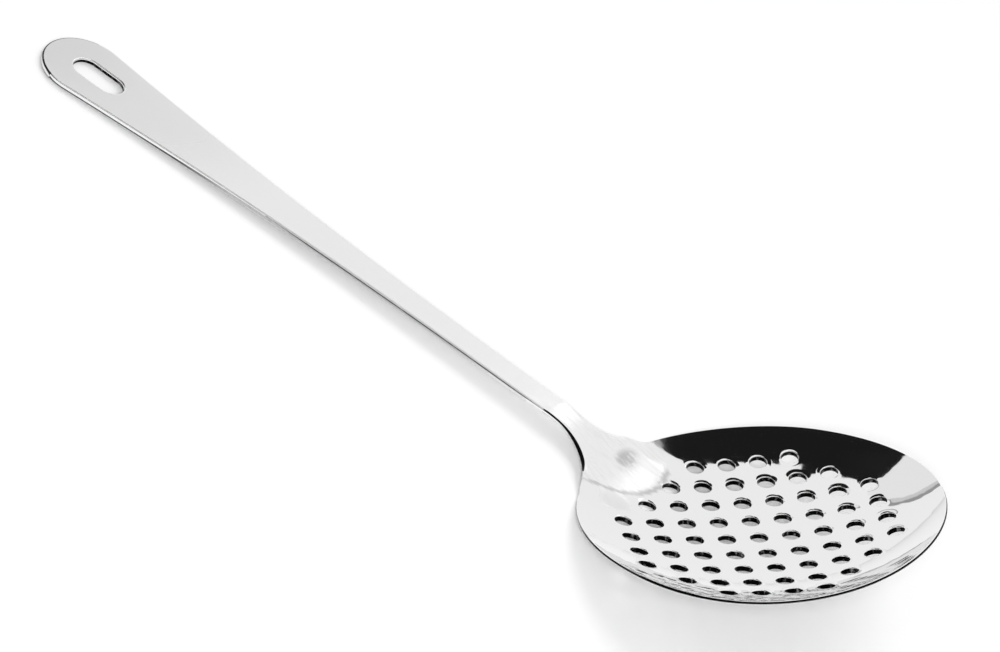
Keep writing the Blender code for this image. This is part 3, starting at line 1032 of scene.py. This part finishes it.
def reflected(name, corners, brightness):
    """A card that shows only in the steel."""
    piece = card(name, corners)
    piece.data.materials.append(glow(name, brightness))
    piece.visible_camera = False
    piece.visible_diffuse = False
    piece.visible_shadow = False
    piece.visible_transmission = False
    piece.visible_volume_scatter = False


def add_reflections():
    """What the steel mirrors besides white: a dark ceiling and room in front, a lamp and a grey panel."""
    reflected("dark_ceiling", lying(CEILING, CEILING_HEIGHT), DARK)
    left, right = (ROOM_LEFT, ROOM_FRONT), (ROOM_RIGHT, ROOM_FRONT)
    reflected("dark_room", standing(left, right), DARK)
    reflected("dark_side", standing(right, (ROOM_RIGHT, ROOM_BACK)), DARK)
    reflected("dark_left", standing(left, (ROOM_LEFT, LEFT_WALL_END)), DARK)
    front = rectangle(ROOM_LEFT, ROOM_RIGHT, ROOM_FRONT, DARK_FLOOR_FRONT, DARK_FLOOR_HEIGHT)
    reflected("dark_front", front, DARK)
    side = rectangle(DARK_FLOOR_SIDE, ROOM_RIGHT, DARK_FLOOR_FRONT, ROOM_BACK, DARK_FLOOR_HEIGHT)
    reflected("dark_front_side", side, DARK)
    reflected("dark_beam", rectangle(*BEAM, CEILING_HEIGHT), DARK)
    reflected("softbox", lying(SOFTBOX, SOFTBOX_HEIGHT), SOFTBOX_GLOW)
    for layer, (name, reach, brightness) in enumerate(PANEL_STRIPS):
        reflected(name, leaning_strip(PANEL_X + layer * PANEL_LAYER, reach), brightness)


def leaning_strip(x, reach):
    """A strip of the panel that stands to the left, from its slanting lower edge up."""
    top, foot = Vector(PANEL_EDGE_TOP), Vector(PANEL_EDGE_FOOT)
    up = (top - foot).orthogonal().normalized()
    corners = [foot, top, top + up * reach, foot + up * reach]
    return [(x, y, z) for y, z in corners]


def add_lamp(name, place, size, power):
    """A soft lamp turned to the bowl, which the steel doesn't mirror."""
    data = bpy.data.lights.new(name, 'AREA')
    data.shape = 'DISK'
    data.size = size
    data.energy = power
    lamp = bpy.data.objects.new(name, data)
    bpy.context.scene.collection.objects.link(lamp)
    lamp.location = place
    lamp.rotation_euler = (BOWL_PLACE - place).to_track_quat('-Z', 'Y').to_euler()
    lamp.visible_glossy = False


def add_world():
    """White where the camera or a reflection looks, and a plain even light for the rest."""
    world = bpy.data.worlds.new("studio")
    bpy.context.scene.world = world
    world.use_nodes = True
    tree = world.node_tree
    background = tree.nodes["Background"]
    background.inputs["Color"].default_value = (1, 1, 1, 1)
    path = add_node(tree, "ShaderNodeLightPath")
    seen = add_node(tree, "ShaderNodeMath", operation='MAXIMUM')
    tree.links.new(path.outputs["Is Camera Ray"], seen.inputs[0])
    tree.links.new(path.outputs["Is Glossy Ray"], seen.inputs[1])
    strength = add_node(tree, "ShaderNodeMapRange")
    strength.inputs["To Min"].default_value = WORLD_LIGHT
    strength.inputs["To Max"].default_value = 1.0
    tree.links.new(seen.outputs["Value"], strength.inputs["Value"])
    tree.links.new(strength.outputs["Result"], background.inputs["Strength"])


# Assembly

def settle(piece, node):
    """Puts a piece in the place of a node of the frame."""
    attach(piece, "root")
    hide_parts(node)


def main():
    cut = [polished_edge_and_highlight(), punched_edge_painted_reflection(), sheared_edge_painted_reflection()]
    settle(make_bowl([steel("polished_steel")] + cut), "bowl")
    settle(make_handle([steel("satin_steel")] + cut), "handle")
    settle(make_weld([steel("weld_steel")] + cut), "neck_weld")
    add_camera()
    add_floor()
    add_reflections()
    add_lamp("front_lamp", FRONT_LAMP_PLACE, FRONT_LAMP_SIZE, FRONT_LAMP_POWER)
    add_lamp("back_lamp", BACK_LAMP_PLACE, BACK_LAMP_SIZE, BACK_LAMP_POWER)
    add_world()
    bpy.context.scene.view_settings.view_transform = 'Standard'


main()
